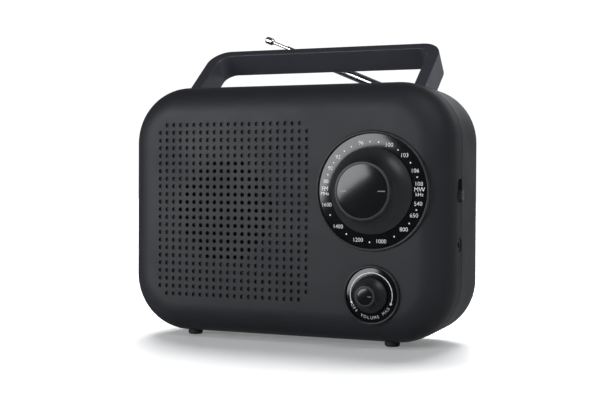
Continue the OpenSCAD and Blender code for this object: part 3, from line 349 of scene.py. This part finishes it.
class Print:
    """Flat marks gathered in one mesh, laid against the front of a node."""

    def __init__(self, centre, on):
        self.centre, self.at, self.bm = centre, front_of(on), bmesh.new()

    def take(self, mesh, place):
        before = len(self.bm.verts)
        self.bm.from_mesh(mesh)
        bpy.data.meshes.remove(mesh)
        self.bm.verts.ensure_lookup_table()
        for v in self.bm.verts[before:]:
            p = place @ Vector((v.co.x, v.co.y, 0))
            x, z = self.centre.x + p.x, self.centre.z + p.y
            v.co = Vector((x, self.at(x, z) - INK * 0.6 - v.co.z, z))

    def text(self, text, size, radius, angle, turn=0.0, narrow=1.0):
        """Text at a radius in mm and an angle in degrees from three o'clock, turned by turn."""
        a = radians(angle)
        spot = Matrix.Translation((radius * MM * cos(a), radius * MM * sin(a), 0))
        spin = Matrix.Rotation(radians(turn), 4, "Z")
        self.take(glyphs(text, size), spot @ spin @ Matrix.Diagonal((narrow, 1, 1, 1)))

    def ring_text(self, text, size, radius, angle, spacing):
        """Text that follows the circle, read along its lower half; angle is that of its middle."""
        first = angle - spacing * (len(text) - 1) / 2
        for i, letter in enumerate(text):
            a = first + i * spacing
            self.text(letter, size, radius, a, a + 90, 0.9)

    def band(self, points, width):
        """A line of a width in mm through (x, z) points in mm."""
        half, rows = width / 2 * MM, []
        points = [Vector(p) * MM for p in points]
        for i, p in enumerate(points):
            along = (points[min(i + 1, len(points) - 1)] - points[max(i - 1, 0)]).normalized()
            side = Vector((-along.y, along.x)) * half
            corners = ((p + side, 1), (p - side, 1), (p - side, 0), (p + side, 0))
            rows.append([self.lay(corner, raised) for corner, raised in corners])
        for a, b in zip(rows, rows[1:]):
            for i in range(4):
                self.bm.faces.new((a[i], a[(i + 1) % 4], b[(i + 1) % 4], b[i]))
        self.bm.faces.new(reversed(rows[0]))
        self.bm.faces.new(rows[-1])

    def lay(self, p, raised):
        """A point on the node's surface, or raised to the top of the ink."""
        x, z = self.centre.x + p.x, self.centre.z + p.y
        return self.bm.verts.new((x, self.at(x, z) - INK * (1.1 if raised else 0.1), z))

    def arc(self, radius, start, end, width, steps=72):
        """A line along a circle, angles in degrees."""
        turns = [radians(start + (end - start) * i / steps) for i in range(steps + 1)]
        self.band([(radius * cos(a), radius * sin(a)) for a in turns], width)

    def dot(self, radius, angle, size):
        """A round dot, as a disc with a low edge."""
        sides = 16
        cx, cz = radius * cos(radians(angle)), radius * sin(radians(angle))
        turns = [2 * pi * i / sides for i in range(sides)]
        rim = [(cx + size / 2 * cos(a), cz + size / 2 * sin(a)) for a in turns]
        top = [self.lay(Vector(p) * MM, 1) for p in rim]
        low = [self.lay(Vector(p) * MM, 0) for p in rim]
        self.bm.faces.new(top)
        self.bm.faces.new(reversed(low))
        for i in range(sides):
            j = (i + 1) % sides
            self.bm.faces.new((low[i], low[j], top[j], top[i]))

    def done(self, name, body, material):
        bmesh.ops.recalc_face_normals(self.bm, faces=self.bm.faces)
        mesh = bpy.data.meshes.new(name)
        self.bm.to_mesh(mesh)
        self.bm.free()
        mesh.materials.append(material)
        piece = bpy.data.objects.new(name, mesh)
        bpy.context.scene.collection.objects.link(piece)
        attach(piece, body)


# the tuning scale: FM over the top, MW along the bottom, at degrees from three o'clock
FM = {88: 168, 90: 152, 92: 136, 96: 103, 100: 68.5, 103: 46.5, 106: 25, 108: 9.5}
MW = {540: -13, 650: -27, 800: -47, 1000: -78, 1200: -106.5, 1400: -135.5, 1600: -164.5}
FM_DOTS = (160, 144.5, 125.5, 115.5, 92, 81.5, 56.5, 35.5, 17.5)
MW_DOTS = (-20, -37.5, -61, -92, -122, -152)
LABEL_R, LABEL_H, DOT = 28.1, 2.35, 0.85
NUDGE = Vector((-0.2, 0, -0.6))  # the print sits this far off the dial's middle, in mm
dial = middle("dial_scale")
scale = Print(dial + NUDGE * MM, "dial_scale")
for number, angle in {**FM, **MW}.items():
    scale.text(str(number), LABEL_H, LABEL_R, angle)
for angle in FM_DOTS + MW_DOTS:
    scale.dot(LABEL_R, angle, DOT)
for wave, unit, side in (("FM", "MHz", -1), ("MW", "kHz", 1)):
    for text, height, z in ((wave, 2.5, 1.55), (unit, 2.0, -1.2)):
        scale.take(glyphs(text, height, 0.0), Matrix.Translation((side * LABEL_R * MM, z * MM, 0)))
scale.done("dial_print", "case", ink)

# the volume ring: an arc with a dot at each end, and its words below
RING_R, WORD_H, ARC_ENDS, END_DOT = 12.5, 1.8, (-21, 200.5), 1.3
scale = Print(middle("volume_scale"), "volume_scale")
scale.arc(RING_R, *ARC_ENDS, 0.4)
for angle in ARC_ENDS:
    scale.dot(RING_R, angle, END_DOT)
for word, radius, angle, spacing in (
    ("VOLUME", RING_R + 0.2, -93, 9.1),
    ("OFF", RING_R + 0.2, -143, 9.0),
    ("MAX", RING_R, -44, 8.8),
):
    scale.ring_text(word, WORD_H, radius, angle, spacing)
scale.done("volume_print", "case", ink)


def pointer(name, node, body, reach, step, count, width, sides):
    """A pale line from reach towards the middle of a knob's cap, on each side named."""
    cap = Print(middle(node), node)
    for side in sides:
        cap.band([(side * (reach - i * step), 0) for i in range(count)], width)
    cap.done(name, body, mark)


pointer("tuning_pointers", "tuning_knob_cap", "tuning", 13.4, 0.5, 9, 0.55, (1, -1))
pointer("volume_pointer", "volume_knob_cap", "volume", 3.8, 0.3, 8, 0.45, (1,))


# ---------------------------------------------------------------- floor, light and camera
def sheet(name, size, place, turn, material=None):
    bm = bmesh.new()
    bmesh.ops.create_grid(bm, x_segments=1, y_segments=1, size=size / 2)
    mesh = bpy.data.meshes.new(name)
    bm.to_mesh(mesh)
    bm.free()
    o = bpy.data.objects.new(name, mesh)
    o.matrix_world = Matrix.Translation(place) @ turn.to_4x4()
    if material:
        mesh.materials.append(material)
    bpy.context.scene.collection.objects.link(o)
    return o


floor = Shader("floor")
floor.set(
    Base_Color=floor.mix(floor.noise(80.0), (0.86, 0.86, 0.865, 1), (0.9, 0.9, 0.9, 1)),
    Roughness=floor.spread(floor.noise(20.0), 0.3, 0.36),
    Emission_Color=(1, 1, 1, 1),
    Emission_Strength=0.17,
)
low, high = cad_bounds
ground = sheet("floor_sheet", 8.0, (0, 0, low[2]), Matrix.Identity(3), floor.material)
ground.visible_glossy = False  # black gloss shows the dark side of the studio instead


def softbox(name, centre, azimuth, elevation, distance, width, height, watts, roll=0.0):
    """A rectangular light facing centre. Azimuth 0 is in front, along -y, and 90 to the right."""
    light = bpy.data.lights.new(name, "AREA")
    light.shape, light.size, light.size_y, light.energy = "RECTANGLE", width, height, watts
    light.color = (0.96, 0.98, 1)
    a, e = radians(azimuth), radians(elevation)
    away = Vector((sin(a) * cos(e), -cos(a) * cos(e), sin(e)))
    o = bpy.data.objects.new(name, light)
    turn = away.to_track_quat("Z", "Y").to_matrix() @ Matrix.Rotation(radians(roll), 3, "Z")
    o.matrix_world = Matrix.Translation(Vector(centre) + away * distance) @ turn.to_4x4()
    bpy.context.scene.collection.objects.link(o)
    return o


def lights_only(light, target, unshadowed=False):
    """Keep a light to one object; unshadowed, nothing but that object stands in its way."""
    group = bpy.data.collections.new("lit_by_" + light.name)
    group.objects.link(target)
    light.light_linking.receiver_collection = group
    if unshadowed:
        light.light_linking.blocker_collection = group


heart = (Vector(low) + Vector(high)) / 2
softbox("key", dial, azimuth=-36, elevation=11, distance=1.5, width=1.05, height=0.55,
        watts=11.5, roll=35)
softbox("high", heart, azimuth=60, elevation=50, distance=1.3, width=0.6, height=0.7, watts=4)
softbox("back", heart, azimuth=170, elevation=28, distance=1.5, width=1.2, height=0.5, watts=2)

# the sweep's own light falls on the floor alone, from behind and above
SWEEP_FROM = Vector((-0.25, 0.6, 0.85))
lamp = bpy.data.lights.new("sweep", "SUN")
lamp.energy, lamp.angle = 6.5, radians(48)
sweep = bpy.data.objects.new("sweep", lamp)
sweep.matrix_world = SWEEP_FROM.to_track_quat("Z", "Y").to_matrix().to_4x4()
bpy.context.scene.collection.objects.link(sweep)
lights_only(sweep, ground)

# two lights fall on the handle alone: a card from below in front, and one from its right side
grip = middle("carry_handle")
card = softbox("card", grip, azimuth=-26, elevation=-14, distance=0.5, width=0.5, height=0.25,
               watts=2.0)
lights_only(card, nodes["carry_handle"], unshadowed=True)
rim = softbox("rim", grip, azimuth=80, elevation=12, distance=0.7, width=0.3, height=0.5, watts=7.5)
lights_only(rim, nodes["carry_handle"])

# the studio is brighter behind the radio than in front, and white where the camera sees it
world = bpy.data.worlds.new("studio")
bpy.context.scene.world = world
world.use_nodes = True
tree = world.node_tree
tree.nodes.clear()
new, link = tree.nodes.new, tree.links.new
way = new("ShaderNodeTexCoord")
split = new("ShaderNodeSeparateXYZ")
link(way.outputs["Generated"], split.inputs[0])
fade = new("ShaderNodeMapRange")
for end, value in (("From Min", 0.4), ("From Max", 0.95), ("To Min", 0.07), ("To Max", 0.36)):
    fade.inputs[end].default_value = value
link(split.outputs["Y"], fade.inputs["Value"])
seen, sky = new("ShaderNodeBackground"), new("ShaderNodeBackground")
out = new("ShaderNodeOutputWorld")
seen.inputs["Color"].default_value = (1, 1, 1, 1)
sky.inputs["Color"].default_value = (0.94, 0.97, 1, 1)
seen.inputs["Strength"].default_value = 1.05
link(fade.outputs[0], sky.inputs["Strength"])
either, path = new("ShaderNodeMixShader"), new("ShaderNodeLightPath")
link(path.outputs["Is Camera Ray"], either.inputs[0])
link(sky.outputs[0], either.inputs[1])
link(seen.outputs[0], either.inputs[2])
link(either.outputs[0], out.inputs[0])
bpy.context.scene.view_settings.view_transform = "Standard"

# the camera, fitted to the grille: to the right of the radio and almost level
EYE, FOCAL = (0.29389, -0.66015, 0.09564), 71.805
PAN, DOWN, ROLL = radians(24.097), radians(1.037), radians(0.285)
lens = bpy.data.cameras.new("camera")
lens.lens = FOCAL
camera = bpy.data.objects.new("camera", lens)
turn = (
    Matrix.Rotation(PAN, 3, "Z")
    @ Matrix.Rotation(pi / 2 - DOWN, 3, "X")
    @ Matrix.Rotation(ROLL, 3, "Z")
)
camera.matrix_world = Matrix.Translation(EYE) @ turn.to_4x4()
bpy.context.scene.collection.objects.link(camera)
bpy.context.scene.camera = camera
